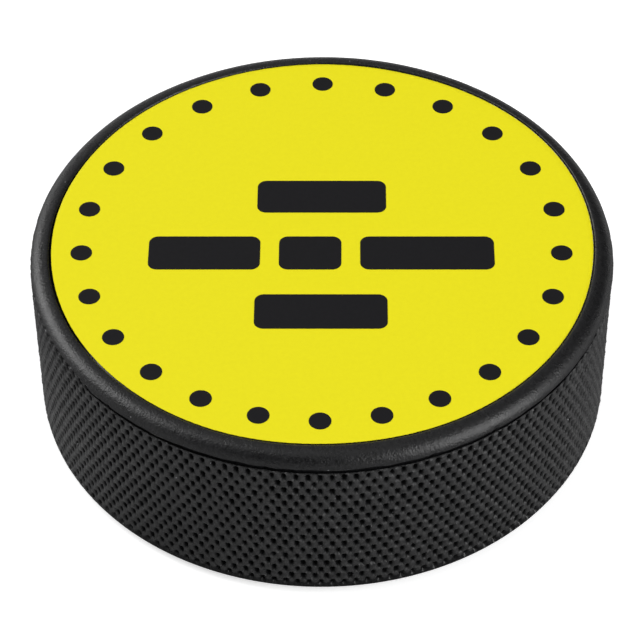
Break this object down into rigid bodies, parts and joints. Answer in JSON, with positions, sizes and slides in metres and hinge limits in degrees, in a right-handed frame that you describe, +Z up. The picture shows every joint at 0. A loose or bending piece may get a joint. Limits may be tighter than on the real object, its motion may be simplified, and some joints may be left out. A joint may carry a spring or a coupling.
{
  "type": "ice hockey puck",
  "caption": "Solid vulcanised rubber disc with rounded rims, a knurled grip band round its side and a printed top face, for sliding and being struck on ice.",
  "frame": {"origin": "middle of the underside, in the plane of the lower rim that the puck rests on", "axes": "+Z up along the puck's axis, from the plain underside to the printed face; +Y towards the top of the print; +X towards its right"},
  "size_m": [0.0762, 0.0762, 0.0254],
  "materials": {
    "rubber": "satin, moulded, with a fine knurl on the side",
    "white_ink": "matte printed layer",
    "yellow_ink": "matte printed layer, faintly mottled",
    "black_ink": "matte printed layer"
  },
  "bodies": {
    "root": {"rubber_body": "rubber", "white_undercoat": "white_ink", "yellow_face": "yellow_ink", "border_dots": "black_ink", "word_bars": "black_ink"}
  },
  "joints": []
}
